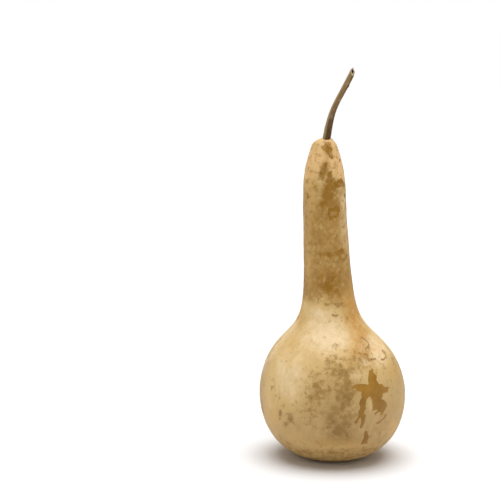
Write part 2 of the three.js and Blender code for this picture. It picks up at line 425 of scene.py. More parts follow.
def rind_outline(settings):
    """Points of the rind's outline as radius and height, from the scar in the foot to the stalk's socket."""
    rings = list(KEY_RINGS)
    rings[1] = WIDEST._replace(radius=settings.bowl_radius / MM)
    rings[3] = NECK._replace(radius=settings.neck_radius / MM)
    scar_middle = Vector((0, SCAR_DEPTH))
    scar_edge = Vector((SCAR_RADIUS, 0))
    points = geometry.interpolate_bezier(
        scar_middle, scar_middle + SCAR_MIDDLE_PULL, scar_edge + SCAR_EDGE_PULL, scar_edge, 7
    )
    for step in range(1, 9):
        points.append(scar_edge.lerp(Vector((FOOT.radius, 0)), step / 8))
    for below, above, count in zip(rings, rings[1:], RINGS_BETWEEN):
        start = Vector((below.radius, below.height))
        end = Vector((above.radius, above.height))
        leave = start + ring_direction(below) * below.after
        arrive = end - ring_direction(above) * above.before
        points.extend(geometry.interpolate_bezier(start, leave, arrive, end, count + 1)[1:])
    inner = socket_radius()
    for outward, rise in SOCKET_LIP:
        points.append(Vector((inner + outward, CROWN.height + rise)))
    points.append(Vector((inner, CROWN.height - SOCKET_DEPTH)))
    points.append(Vector((0, CROWN.height - SOCKET_DEPTH)))
    return points


def socket_radius():
    """Radius of the socket in the crown, where the rind has dried on to the stalk's foot."""
    return bpy.context.scene.gourd_stalk.foot_radius / MM - 0.05


def foot_centre():
    """Middle of the foot in the frame, in metres: the CAD body's box and the outline's share a middle."""
    low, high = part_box("gourd_body")
    angles = np.linspace(-math.pi, math.pi, 361)
    heights = np.full_like(angles, WIDEST.height)
    radii = WIDEST.radius + relief(angles, heights)
    across = radii * np.cos(angles) + lean(heights)
    deep = radii * np.sin(angles)
    middle_x = (across.min() + across.max()) / 2 * MM
    middle_y = (deep.min() + deep.max()) / 2 * MM
    return Vector(((low[0] + high[0]) / 2 - middle_x, (low[1] + high[1]) / 2 - middle_y, 0))


def spun(points, steps):
    """A closed bmesh turned about Z, from points of radius and height that start and end on the axis."""
    mesh = bmesh.new()
    corners = [mesh.verts.new((point.x, 0, point.y)) for point in points]
    edges = [mesh.edges.new(pair) for pair in zip(corners, corners[1:])]
    upward = (0, 0, 1)
    bmesh.ops.spin(
        mesh, geom=corners + edges, cent=(0, 0, 0), axis=upward, angle=math.tau, steps=steps, use_merge=True
    )
    bmesh.ops.remove_doubles(mesh, verts=mesh.verts[:], dist=1e-4)
    bmesh.ops.recalc_face_normals(mesh, faces=mesh.faces[:])
    return mesh


def refine_front(mesh):
    """Halves the faces round the star and the flakes, so that their edges keep their shape."""
    chosen = []
    for edge in mesh.edges:
        middle = (edge.verts[0].co + edge.verts[1].co) / 2
        turn = math.atan2(middle.x, -middle.y)
        if FINE_TURN[0] < turn < FINE_TURN[1] and FINE_HEIGHT[0] < middle.z < FINE_HEIGHT[1]:
            chosen.append(edge)
    bmesh.ops.subdivide_edges(mesh, edges=chosen, cuts=1, use_grid_fill=True)


def shape_rind(mesh):
    """Moves the spun rind's points out and in by its relief and sideways by its lean."""
    for vert in mesh.verts:
        height = vert.co.z
        radius = math.hypot(vert.co.x, vert.co.y)
        angle = math.atan2(vert.co.y, vert.co.x)
        shift = float(lean(height))
        if height > BROW.height:
            shift += float(socket_lean(radius))
            close = 1 - float(smooth_step(radius, *COLLAR_REACH))
            dip = math.sin(angle) ** 2
            if height > CROWN.height - COLLAR_BAND:
                height += close * (COLLAR_RISE * (1 - dip) - COLLAR_DIP * dip)
        if radius > SCAR_RADIUS + 0.1:
            radius += float(relief(angle, height))
            radius += fine_relief(angle, height)
        if height > HEAD.height:
            radius += crown_pucker(angle, height, radius)
        vert.co = Vector((radius * math.cos(angle) + shift, radius * math.sin(angle), height))


def crown_pucker(angle, height, radius):
    """Fine folds of skin drawn in round the stalk, which die out down the crown and inside the socket."""
    close = float(smooth_step(height, *FOLD_RISE)) * float(smooth_step(radius, *FOLD_REACH))
    return close * sum(depth * math.sin(count * angle + start) for count, depth, start in CROWN_FOLDS)


def fine_relief(angle, height):
    """Slow unevenness of the dried shell, kept off the flat that it stands on."""
    place = Vector((math.cos(angle), math.sin(angle), height / UNEVEN_CYLINDER)) * UNEVEN_CYLINDER
    clear = float(smooth_step(height, *UNEVEN_RISE)) * (1 - float(smooth_step(height, *UNEVEN_FALL)))
    broad = UNEVEN_BROAD[1] * noise.noise(place / UNEVEN_BROAD[0])
    close = UNEVEN_CLOSE[1] * noise.noise(place / UNEVEN_CLOSE[0] + Vector((7, 3, 1)))
    return clear * (broad + close)


def new_object(name, data):
    """Puts the data of a mesh, a light or a camera into the scene as an object."""
    made = bpy.data.objects.new(name, data)
    bpy.context.scene.collection.objects.link(made)
    return made


def finished(name, mesh, material, shift):
    """Puts a bmesh in millimetres into the scene as a smooth object in metres, moved by shift."""
    bmesh.ops.scale(mesh, vec=(MM, MM, MM), verts=mesh.verts[:])
    bmesh.ops.translate(mesh, vec=shift, verts=mesh.verts[:])
    for face in mesh.faces:
        face.smooth = True
    data = bpy.data.meshes.new(name)
    mesh.to_mesh(data)
    mesh.free()
    data.materials.append(material)
    return new_object(name, data)


def write_values(made, name, values, kind="FLOAT", key="value"):
    """Stores a value, or a vector, for each point of an object, where its material reads it by name."""
    attribute = made.data.attributes.new(name, kind, "POINT")
    attribute.data.foreach_set(key, values.astype(np.float32).ravel())


def line_distance(points, line):
    """Distance from each flat point to a line through given points."""
    nearest = np.full(len(points), np.inf)
    corners = np.array(line, dtype=float)
    for start, end in zip(corners, corners[1:]):
        edge = end - start
        offset = points - start
        share = np.clip(offset @ edge / (edge @ edge), 0, 1)
        gap = offset - share[:, None] * edge
        nearest = np.minimum(nearest, np.hypot(gap[:, 0], gap[:, 1]))
    return nearest


def signed_distance(points, outline):
    """Distance from each flat point to a closed outline, negative inside it."""
    closed = (*outline, outline[0])
    inside = np.zeros(len(points), dtype=bool)
    for start, end in zip(closed, closed[1:]):
        rise = end[1] - start[1]
        spans = (start[1] > points[:, 1]) != (end[1] > points[:, 1])
        crossing = start[0] + (end[0] - start[0]) * (points[:, 1] - start[1]) / (rise or 1.0)
        inside ^= spans & (points[:, 0] < crossing)
    nearest = line_distance(points, closed)
    return np.where(inside, -nearest, nearest)


def ragged_patch(random, across, up, size):
    """A ragged closed outline about a place, longer than it is wide, with deep bays in its edge."""
    turn = random.uniform(0, math.pi)
    outline = []
    for index in range(PATCH_CORNERS):
        angle = math.tau * index / PATCH_CORNERS
        reach = size * random.uniform(*PATCH_REACH)
        along = reach * math.cos(angle) * PATCH_STRETCH[0]
        aside = reach * math.sin(angle) * PATCH_STRETCH[1]
        outline.append((
            across + along * math.cos(turn) - aside * math.sin(turn),
            up + along * math.sin(turn) + aside * math.cos(turn),
        ))
    return outline


def side_markings(seed):
    """Patches and tints of one of the other sides, like those of the front, drawn with a fixed seed."""
    random = np.random.default_rng(seed)

    def patches(count, across, up, size):
        """A few ragged patches, each placed and sized between the two values given."""
        return [
            ragged_patch(random, random.uniform(*across), random.uniform(*up), random.uniform(*size))
            for _ in range(count)
        ]

    def spots(count, across, up, width, strength):
        """A few tint spots, a little taller than they are wide."""
        found = []
        for _ in range(count):
            wide = random.uniform(*width)
            found.append((random.uniform(*across), random.uniform(*up), wide, wide * 1.2, strength))
        return found

    bare = patches(2, (-24, 24), (46, 96), (6, 11)) + patches(3, (-32, 32), (34, 112), (1.4, 3))
    soft = patches(3, (-14, 2), (234, 308), (3, 6)) + patches(3, (-18, 6), (196, 300), (1.4, 2.6))
    tints = {
        "straw": spots(3, (-40, 40), (30, 120), (10, 18), 0.6),
        "haze": spots(4, (-30, 30), (36, 90), (16, 28), 0.55),
        "tan": spots(1, (-12, 2), (150, 170), (8, 12), 0.3),
        "peach": spots(2, (-18, -2), (286, 304), (6, 10), 0.7),
        "cream": (
            spots(2, (-20, 20), (118, 130), (16, 24), 0.8) + spots(1, (-30, 30), (80, 110), (12, 16), 0.5)
        ),
        "amber": spots(2, (-16, 8), (136, 152), (6, 10), 0.6),
        "umber": spots(2, (-14, 4), (164, 182), (7, 11), 0.6) + spots(2, (-16, 2), (200, 290), (4, 8), 0.5),
        "stain": spots(9, (-34, 34), (30, 108), (2.5, 7), 0.6) + spots(3, (-18, 6), (158, 170), (2, 3), 0.5),
        "mottle": (
            spots(5, (-34, 34), (36, 118), (10, 15), 0.6) + spots(4, (-16, 4), (184, 300), (6, 11), 0.6)
        ),
    }
    return bare, soft, tints


def side_view(places, degrees):
    """Flat coordinates of the rind's points seen level from a side, and how squarely each faces it."""
    angle = math.radians(degrees)
    right = np.array([math.cos(angle), math.sin(angle), 0])
    towards = np.array([math.sin(angle), -math.cos(angle), 0])
    middle = places.copy()
    middle[:, 0] -= lean(places[:, 2])
    radius = np.maximum(np.hypot(middle[:, 0], middle[:, 1]), 1e-6)
    flat = np.stack([places @ right, places[:, 2]], axis=1)
    return flat, (middle @ towards) / radius


def paint_rind(made, shift):
    """Writes the markings into the rind's point attributes: patches in millimetres, tints from 0 to 1."""
    count = len(made.data.vertices)
    places = np.empty(count * 3)
    made.data.vertices.foreach_get("co", places)
    places = (places.reshape(-1, 3) - np.array(shift)) / MM
    height = places[:, 2]
    far = FAR_FROM_PATCH
    bare = np.full(count, far)
    soft = np.full(count, far)
    tints = {name: np.zeros(count) for name in FRONT_TINTS}
    on_neck = smooth_step(height, *NECK_TAN_RISE)
    tints["tan"] = NECK_TAN * on_neck * (1 - NECK_TAN_LOSS * smooth_step(height, *NECK_TAN_FALL))
    # Painted shade: darker towards the bottom of the bowl, and lighter again along the foot's rim as a
    # painted reflection of the floor.
    low = 1 - smooth_step(height, *LOW_SHADE_FALL)
    tints["haze"] = LOW_SHADE * smooth_step(height, *LOW_SHADE_RISE) * low
    foot_band = 1 - smooth_step(height, *LOW_BAND)
    tints["mottle"] = np.maximum(LOW_MOTTLE * foot_band, NECK_MOTTLE * on_neck)
    sides = [(0, FRONT_BARE, FRONT_SOFT, FRONT_TINTS)]
    for degrees, seed in OTHER_SIDES:
        sides.append((degrees, *side_markings(seed)))
    forward = side_view(places, 0)[1]
    for degrees, bare_outlines, soft_outlines, spots in sides:
        flat, facing = side_view(places, degrees)
        kept_clear = 0 if degrees == 0 else smooth_step(forward, *FRONT_FACING)
        away = far * np.maximum(1 - smooth_step(facing, *PATCH_FACING), kept_clear)
        for outline in bare_outlines:
            bare = np.minimum(bare, signed_distance(flat, outline) + away)
        for outline in soft_outlines:
            soft = np.minimum(soft, signed_distance(flat, outline) + away)
        shown = smooth_step(facing, *TINT_FACING) * (1 - kept_clear)
        for name, marks in spots.items():
            for across, up, wide, high, strength in marks:
                spread = ((flat[:, 0] - across) / wide) ** 2 + ((flat[:, 1] - up) / high) ** 2
                tints[name] = 1 - (1 - tints[name]) * (1 - strength * np.exp(-spread) * shown)
    flat, facing = side_view(places, 0)
    for outline in FRONT_KEPT:
        soft = np.where(facing > 0, np.maximum(soft, -signed_distance(flat, outline)), soft)
    # The torn line under each flake's edge is partly torn skin and partly painted shadow under the flake.
    torn = np.full(count, far)
    for line, _, _ in PEELS:
        torn = np.minimum(torn, line_distance(flat, line) - TORN_AND_SHADOW_HALF_WIDTH)
    torn = np.where(facing > 0.1, torn, far)
    scar = 1 - smooth_step(np.hypot(places[:, 0], places[:, 1]), SCAR_RADIUS * 0.5, SCAR_RADIUS)
    tints["stain"] = np.maximum(tints["stain"], scar * (height < SCAR_DEPTH + 1))
    for name, values in (("bare", bare), ("soft", soft), ("torn", torn), *tints.items()):
        write_values(made, name, values)


def add_node(tree, kind, inputs=None, result=0, **settings):
    """Adds a node and returns one of its outputs. Inputs hold a value, or an output to link, by socket."""
    made = tree.nodes.new("ShaderNode" + kind)
    for name, value in settings.items():
        setattr(made, name, value)
    for name, value in (inputs or {}).items():
        socket = made.inputs[name]
        if isinstance(value, bpy.types.NodeSocket):
            tree.links.new(value, socket)
        else:
            socket.default_value = value
    return made.outputs[result]


def per_size(millimetres):
    """Texture scale that gives features of about this size on coordinates in metres."""
    return 1 / (millimetres * MM)


def new_material(name):
    """A node material with only its output in it. Returns it with its tree and the input of its surface."""
    material = bpy.data.materials.new(name)
    material.use_nodes = True
    tree = material.node_tree
    tree.nodes.clear()
    return material, tree, tree.nodes.new("ShaderNodeOutputMaterial").inputs["Surface"]


def rind_material(settings):
    """Dried gourd rind: a thin waxy skin over a woody shell.

    The skin is pale straw with a soft low gloss, darkened by stains that have grown under it. Where it has
    worn or peeled off, the ochre shell shows with a crisp ragged edge, a little lower and a little smoother.
    """
    material, tree, surface = new_material("dried_gourd_rind")
    upright = add_node(tree, "TexCoord", result="Object")
    turned = add_node(tree, "Mapping", {"Vector": upright, "Rotation": (0.5, 0.9, 0.3)})
    drawn_out = add_node(tree, "Mapping", {"Vector": upright, "Scale": (1, 1, 0.35)})
    marks = {}
    for name in ("bare", "soft", "torn", *FRONT_TINTS):
        marks[name] = add_node(tree, "Attribute", result="Fac", attribute_name=name)

    # Unevenness, from cloudy areas to the grain of the skin: its coordinates, its size in millimetres, its
    # detail and its roughness. Turned coordinates and an odd lacunarity keep straight lines out of it.
    noises = {}
    for name, coordinates, size, detail, roughness in (
        ("cloud", turned, 42, 3, 0.5),
        ("blotch", turned, 12, 5, 0.6),
        ("lace", turned, 5, 5, 0.66),
        ("speck", turned, 4.2, 5, 0.62),
        ("grain", turned, 1.1, 3, 0.55),
        ("streak", drawn_out, 5, 4, 0.6),
    ):
        kept = {"Vector": coordinates, "Scale": per_size(size), "Detail": detail, "Roughness": roughness}
        noises[name] = add_node(tree, "TexNoise", {**kept, "Lacunarity": 2.17})

    # The middle of a noise, stretched to run between two values
    spreads = {}
    for name, source, low, high in (
        ("coarse_edge", "blotch", -0.5, 0.5),
        ("middle_edge", "speck", -0.8, 0.8),
        ("fine_edge", "grain", -0.4, 0.4),
        ("bleached", "blotch", 0.3, 1.1),
        ("uneven", "lace", 0.35, 1.35),
        ("broken_up", "lace", 0.35, 1.25),
        ("grain_tone", "grain", 0.95, 1.05),
        ("streak_tone", "streak", 0.94, 1.06),
        ("gloss", "blotch", 0.5, 0.62),
    ):
        middle = {"Value": noises[source], "From Min": 0.3, "From Max": 0.7}
        spreads[name] = add_node(tree, "MapRange", {**middle, "To Min": low, "To Max": high})

    # The painted distances to the patches' edges, each made ragged by its share of noise
    ragged = spreads["coarse_edge"]
    for finer in ("middle_edge", "fine_edge"):
        ragged = add_node(tree, "Math", {0: ragged, 1: spreads[finer]}, operation="ADD")
    edges = {}
    for name, share in (("bare", 0.6), ("torn", 0.4), ("soft", 0.75)):
        edges[name] = add_node(tree, "Math", {0: ragged, 1: share, 2: marks[name]}, operation="MULTIPLY_ADD")

    # Masks: bare shell, torn edges that also hold the painted shadow under the flakes, patches that have
    # darkened under the skin, a lace of small smudges that closes up where the mottle tint is strong, and a
    # golden cloudiness. Each has a value where it starts, one where it is full, and a strength.
    crowd = {0: marks["mottle"], 1: 0.22, 2: noises["lace"]}
    crowd = add_node(tree, "Math", crowd, operation="MULTIPLY_ADD")
    masks = {"haze": marks["haze"]}
    for name, source, start, full, strength, course in (
        ("worn_off", edges["bare"], 0.25, -0.25, 1.0, "LINEAR"),
        ("torn_and_shadowed", edges["torn"], 0.7, -0.6, 0.9, "LINEAR"),
        ("darkened", edges["soft"], 0.5, -0.5, 1.0, "SMOOTHSTEP"),
        ("mottled", crowd, 0.58, 0.78, 0.75, "SMOOTHSTEP"),
        ("golden", noises["cloud"], 0.42, 0.68, 0.5, "LINEAR"),
    ):
        span = {"Value": source, "From Min": start, "From Max": full, "To Max": strength}
        masks[name] = add_node(tree, "MapRange", span, interpolation_type=course)

    # Tints spread under the skin, and noise breaks them up: how much the two sizes of it do so
    for name, broad, close in (
        ("straw", 1.8, 1.2), ("tan", 1.2, 1.6), ("cream", 2.0, 1.2), ("amber", 1.2, 2.2), ("umber", 1.6, 2.2),
        ("stain", 1.2, 2.8), ("peach", 1.4, 1.2),
    ):
        factor = 1 - (broad + close) / 2
        for source, share in (("blotch", broad), ("speck", close)):
            sums = {0: noises[source], 1: share, 2: factor}
            factor = add_node(tree, "Math", sums, operation="MULTIPLY_ADD")
        amount = add_node(tree, "Math", {0: marks[name], 1: factor}, operation="MULTIPLY")
        span = {"Value": amount, "From Min": 0.1, "From Max": 0.9}
        masks[name] = add_node(tree, "MapRange", span, interpolation_type="SMOOTHSTEP")

    # The haze and the painted shade of the lower bowl are streaky, and the dark patches and stains are lacy
    # in their middle
    haze_and_shade_streaks = -0.1
    for source, share in (("blotch", 0.8), ("streak", 1.4)):
        haze_and_shade_streaks = add_node(tree, "Math", {0: noises[source], 1: share, 2: haze_and_shade_streaks}, operation="MULTIPLY_ADD")
    for name, factor in (("haze", haze_and_shade_streaks), ("darkened", spreads["uneven"]), ("stain", spreads["broken_up"])):
        product = {0: masks[name], 1: factor}
        masks[name] = add_node(tree, "Math", product, operation="MULTIPLY", use_clamp=True)

    # Bare shell is bleached in blotches, but for where it has aged
    fresh = add_node(tree, "Math", {0: 1.0, 1: marks["aged"]}, operation="SUBTRACT")
    bleached = {0: spreads["bleached"], 1: fresh}
    bleached = add_node(tree, "Math", bleached, operation="MULTIPLY", use_clamp=True)
    shell = {0: bleached, 6: tuple(settings.shell_edge), 7: tuple(settings.shell)}
    shell = add_node(tree, "Mix", shell, result=2, data_type="RGBA")

    # Colours laid over the skin, from the lowest up
    colour = tuple(settings.skin)
    for name, tint in (
        ("golden", "straw"), ("haze", "haze"), ("tan", "tan"), ("straw", "straw"), ("cream", "cream"),
        ("peach", "peach"), ("amber", "amber"), ("umber", "umber"), ("stain", "stain"), ("mottled", "mottle"),
        ("darkened", "umber"), ("torn_and_shadowed", "torn"),
    ):
        over = {0: masks[name], 6: colour, 7: tuple(getattr(settings, tint))}
        colour = add_node(tree, "Mix", over, result=2, data_type="RGBA")
    colour = add_node(tree, "Mix", {0: masks["worn_off"], 6: colour, 7: shell}, result=2, data_type="RGBA")
    tone = {0: spreads["grain_tone"], 1: spreads["streak_tone"]}
    tone = add_node(tree, "Math", tone, operation="MULTIPLY")
    colour = add_node(tree, "HueSaturation", {"Value": tone, "Color": colour})

    # Shell is a little glossier than skin. Heights, in metres, are the step down to it, pores and smudges.
    worn = add_node(tree, "Math", {0: masks["worn_off"], 1: masks["torn_and_shadowed"]}, operation="MAXIMUM")
    roughness = add_node(tree, "Mix", {0: worn, 2: spreads["gloss"], 3: 0.44}, data_type="FLOAT")
    height = 0.0
    for part, depth in (
        (worn, -settings.skin_depth), (noises["grain"], settings.pore_depth),
        (masks["mottled"], -0.1 * settings.skin_depth),
    ):
        height = add_node(tree, "Math", {0: part, 1: depth, 2: height}, operation="MULTIPLY_ADD")
    bump = add_node(tree, "Bump", {"Height": height, "Distance": 1.0, "Strength": 1.0})
    looks = {"Base Color": colour, "Roughness": roughness, "Specular IOR Level": 0.3, "Normal": bump}
    tree.links.new(add_node(tree, "BsdfPrincipled", looks), surface)
    return material


class GOURD_OT_rind(bpy.types.Operator):
    """Builds the gourd's rind and paints its markings."""

    bl_idname = "gourd.rind"
    bl_label = "Build the rind"

    def execute(self, context):
        settings = context.scene.gourd_rind
        shift = foot_centre()
        mesh = spun(rind_outline(settings), STEPS_AROUND)
        refine_front(mesh)
        shape_rind(mesh)
        rind = finished("gourd_rind", mesh, rind_material(settings), shift)
        paint_rind(rind, shift)
        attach(rind, "root")
        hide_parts("gourd_body")
        return {"FINISHED"}


def peel_material(settings):
    """Lifted dry skin: as waxy as the skin round it, thin, and yellower at its torn edge."""
    material, tree, surface = new_material("peeling_gourd_skin")
    place = add_node(tree, "TexCoord", result="Object")
    speck = add_node(tree, "TexNoise", {"Vector": place, "Scale": per_size(2), "Detail": 4})
    share = add_node(tree, "MapRange", {"Value": speck, "From Min": 0.4, "From Max": 0.65})
    torn = add_node(tree, "Attribute", result="Fac", attribute_name="torn_edge")
    colour = tuple(settings.skin)
    for mask in (share, torn):
        over = {0: mask, 6: colour, 7: tuple(settings.straw)}
        colour = add_node(tree, "Mix", over, result=2, data_type="RGBA")
    bump = add_node(tree, "Bump", {"Height": speck, "Distance": 0.1 * MM})
    looks = {"Base Color": colour, "Roughness": 0.6, "Normal": bump}
    tree.links.new(add_node(tree, "BsdfPrincipled", looks), surface)
    return material


def smooth_line(points, between):
    """A smooth line through given points, with extra points between them."""
    line = []
    for index in range(len(points) - 1):
        before = Vector(points[max(index - 1, 0)])
        start = Vector(points[index])
        end = Vector(points[index + 1])
        after = Vector(points[min(index + 2, len(points) - 1)])
        leave = start + (end - before) / 6
        arrive = end - (after - start) / 6
        piece = geometry.interpolate_bezier(start, leave, arrive, end, between + 1)
        line.extend(piece if index == 0 else piece[1:])
    return line


class GOURD_OT_peels(bpy.types.Operator):
    """Builds the thin flakes of skin that curl up on the front."""

    bl_idname = "gourd.peels"
    bl_label = "Build the peeling skin"

    def execute(self, context):
        rind = bpy.data.objects["gourd_rind"]
        tree = BVHTree.FromObject(rind, context.evaluated_depsgraph_get())
        shift = foot_centre()
        mesh = bmesh.new()
        mesh.verts.layers.float.new("torn_edge")
        for points, width, lift in PEELS:
            add_peel(mesh, tree, shift, smooth_line(points, 5), width, lift)
        bmesh.ops.recalc_face_normals(mesh, faces=mesh.faces[:])
        peels = finished("peeling_skin", mesh, peel_material(context.scene.gourd_rind), Vector((0, 0, 0)))
        smooth = peels.modifiers.new("Smooth edges", "SUBSURF")
        smooth.levels = 1
        smooth.render_levels = 1
        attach(peels, "root")
        return {"FINISHED"}


def add_peel(mesh, tree, shift, line, width, lift):
    """Adds one flake to the mesh, in millimetres. It leaves the rind behind its line and lifts up to it."""
    torn_edge = mesh.verts.layers.float["torn_edge"]
    loops = []
    for index, point in enumerate(line):
        share = index / (len(line) - 1)
        fullness = max(math.sin(math.pi * share), PEEL_END) ** PEEL_TAPER
        ahead = line[min(index + 1, len(line) - 1)] - line[max(index - 1, 0)]
        origin = shift + Vector((point.x * MM, -1, point.y * MM))
        place, normal, _, _ = tree.ray_cast(origin, Vector((0, 1, 0)))
        along = Vector((ahead.x, 0, ahead.y)).normalized()
        along = (along - normal * along.dot(normal)).normalized()
        back = along.cross(normal).normalized()
        place = place / MM
        reach = width * fullness
        rise = lift * fullness
        corners = (
            place + back * reach - normal * PEEL_BURIED,
            place + back * reach * 0.5 + normal * (rise * 0.35 - PEEL_THICKNESS),
            place + back * 0.6 + normal * (rise - PEEL_THICKNESS),
            place + back * 0.5 + normal * rise,
            place + back * reach * 0.45 + normal * (rise * 0.45 + PEEL_THICKNESS * 0.3),
            place + back * reach + normal * 0.02,
        )
        loop = [mesh.verts.new(corner) for corner in corners]
        for edge_corner in loop[2:4]:
            edge_corner[torn_edge] = 1.0
        loops.append(loop)
    for lower, upper in zip(loops, loops[1:]):
        for index in range(len(lower)):
            following = (index + 1) % len(lower)
            mesh.faces.new((lower[index], lower[following], upper[following], upper[index]))
    mesh.faces.new(loops[0])
    mesh.faces.new(list(reversed(loops[-1])))


# Stalk in millimetres: the bend of its middle line, its flare and tip, its ridges and its slanting cut
STALK_ROOT_GAP = 0.85
STALK_ROOT_SHIFT = -0.3
STALK_FIRST_PULL = Vector((5.2, 0, 36.5))
STALK_SECOND_PULL = Vector((8, 2, 31.9))
STALK_TIP = Vector((25.6, 3, 67.6))
STALK_FLARE = 55
STALK_RIDGES = 5
STALK_RIDGE_DEPTH = 0.25
STALK_RIDGE_START = 14
STALK_TWIST = 35

# Finer ridges: how many go round, how high they are, how they turn along the stalk and where they start.
# A knot of a broken-off side shoot stands out at a height, with its half size along and its angle round.
STALK_FINE_RIDGES = ((13, 0.1, 0.09, 1), (23, 0.06, -0.05, 0))
STALK_KNOT_HEIGHT = 59
STALK_KNOT_LENGTH = 1.6
STALK_KNOT_ANGLE = 0.5
STALK_KNOT_SIZE = 0.5

STALK_CUT_SLOPE = math.radians(55)
STALK_CUT_TURN = math.radians(-58)
STALK_CUT_REACH = 9

# Rings of the cut, which dips a little towards its pith: share of the stalk's radius, and height over the
# stalk's end
STALK_CUT_RINGS = ((0.906, 0.05), (0.75, -0.15), (0.55, -0.2))
STALK_CUT_DIP = 0.25

STALK_PITH_RADIUS = 1.1
STALK_PITH_SHIFT = 0.6
STALK_PITH_DEPTH = 5
STALK_AROUND = 80
STALK_ALONG = 150
STALK_LINE_POINTS = 400


def stalk_line():
    """The stalk's middle line as close points, and the distance of each from the foot, in millimetres."""
    across = float(lean(CROWN.height) + socket_lean(0)) + STALK_ROOT_SHIFT
    root = Vector((across, 0, CROWN.height - SOCKET_DEPTH + STALK_ROOT_GAP))
    points = geometry.interpolate_bezier(
        root, root + STALK_FIRST_PULL, root + STALK_SECOND_PULL, root + STALK_TIP, STALK_LINE_POINTS
    )
    distances = [0.0]
    for start, end in zip(points, points[1:]):
        distances.append(distances[-1] + (end - start).length)
    return points, distances


def stalk_outline(length, settings):
    """Outline of the stalk laid straight: radius, and distance from its foot."""
    thin = settings.radius / MM
    foot = settings.foot_radius / MM
    outline = [Vector((0, 0))]
    for step in range(STALK_ALONG + 1):
        distance = length * step / STALK_ALONG
        flare = (1 - float(smooth_step(distance, 0, STALK_FLARE))) ** 2 * (foot - thin)
        outline.append(Vector((thin + flare, distance)))
    for radius, rise in STALK_CUT_RINGS:
        outline.append(Vector((thin * radius, length + rise)))
    outline.append(Vector((STALK_PITH_RADIUS, length - STALK_CUT_DIP)))
    outline.append(Vector((STALK_PITH_RADIUS * 0.8, length - STALK_PITH_DEPTH)))
    outline.append(Vector((0, length - STALK_PITH_DEPTH)))
    return outline


def shape_stalk(mesh, thin):
    """Ridges the straight stalk, cuts it on the slant and bends it. Returns each point's straight place."""
    points, distances = stalk_line()
    length = distances[-1]
    straight_places = []
    for vert in mesh.verts:
        straight = vert.co.z
        radius = math.hypot(vert.co.x, vert.co.y)
        angle = math.atan2(vert.co.y, vert.co.x)
        outer = float(smooth_step(radius, STALK_PITH_RADIUS, thin))
        ridged = float(smooth_step(straight, SOCKET_DEPTH, STALK_RIDGE_START)) * outer
        turned = angle + straight / STALK_TWIST / STALK_RIDGES
        ridge = STALK_RIDGE_DEPTH * math.cos(STALK_RIDGES * turned)
        for count, rise, turning, start in STALK_FINE_RIDGES:
            ridge += rise * math.cos(count * angle + turning * straight + start)
        ridge += 0.1 * noise.noise(Vector((math.cos(angle) * 2, math.sin(angle) * 2, straight / 9)))
        knot = ((straight - STALK_KNOT_HEIGHT) / STALK_KNOT_LENGTH) ** 2 + (angle / STALK_KNOT_ANGLE) ** 2
        reach = radius + ridge * ridged + STALK_KNOT_SIZE * math.exp(-knot) * outer
        cut = float(smooth_step(straight, length - STALK_CUT_REACH, length)) * math.tan(STALK_CUT_SLOPE)
        inward = STALK_PITH_SHIFT * (1 - outer) * (1 if straight > length / 2 else 0)
        distance = straight - (reach * math.cos(angle - STALK_CUT_TURN) - inward) * cut
        aside = reach * math.cos(angle) - inward * math.cos(STALK_CUT_TURN)
        depth = reach * math.sin(angle) - inward * math.sin(STALK_CUT_TURN)
        straight_places.append((reach * math.cos(angle), reach * math.sin(angle), straight))
        vert.co = bent_place(points, distances, distance, aside, depth)
    return straight_places


def bent_place(points, distances, distance, aside, depth):
    """Place on the bent stalk of a point at a distance along it, aside from and deep behind its middle."""
    inside = min(max(distance, 0.0), distances[-1])
    index = min(int(np.searchsorted(distances, inside, side="right")), len(points) - 1)
    start, end = points[index - 1], points[index]
    tangent = (end - start).normalized()
    across = Vector((0, 1, 0)).cross(tangent).normalized()
    deep = tangent.cross(across)
    middle = start + tangent * (distance - distances[index - 1])
    return middle + across * aside + deep * depth


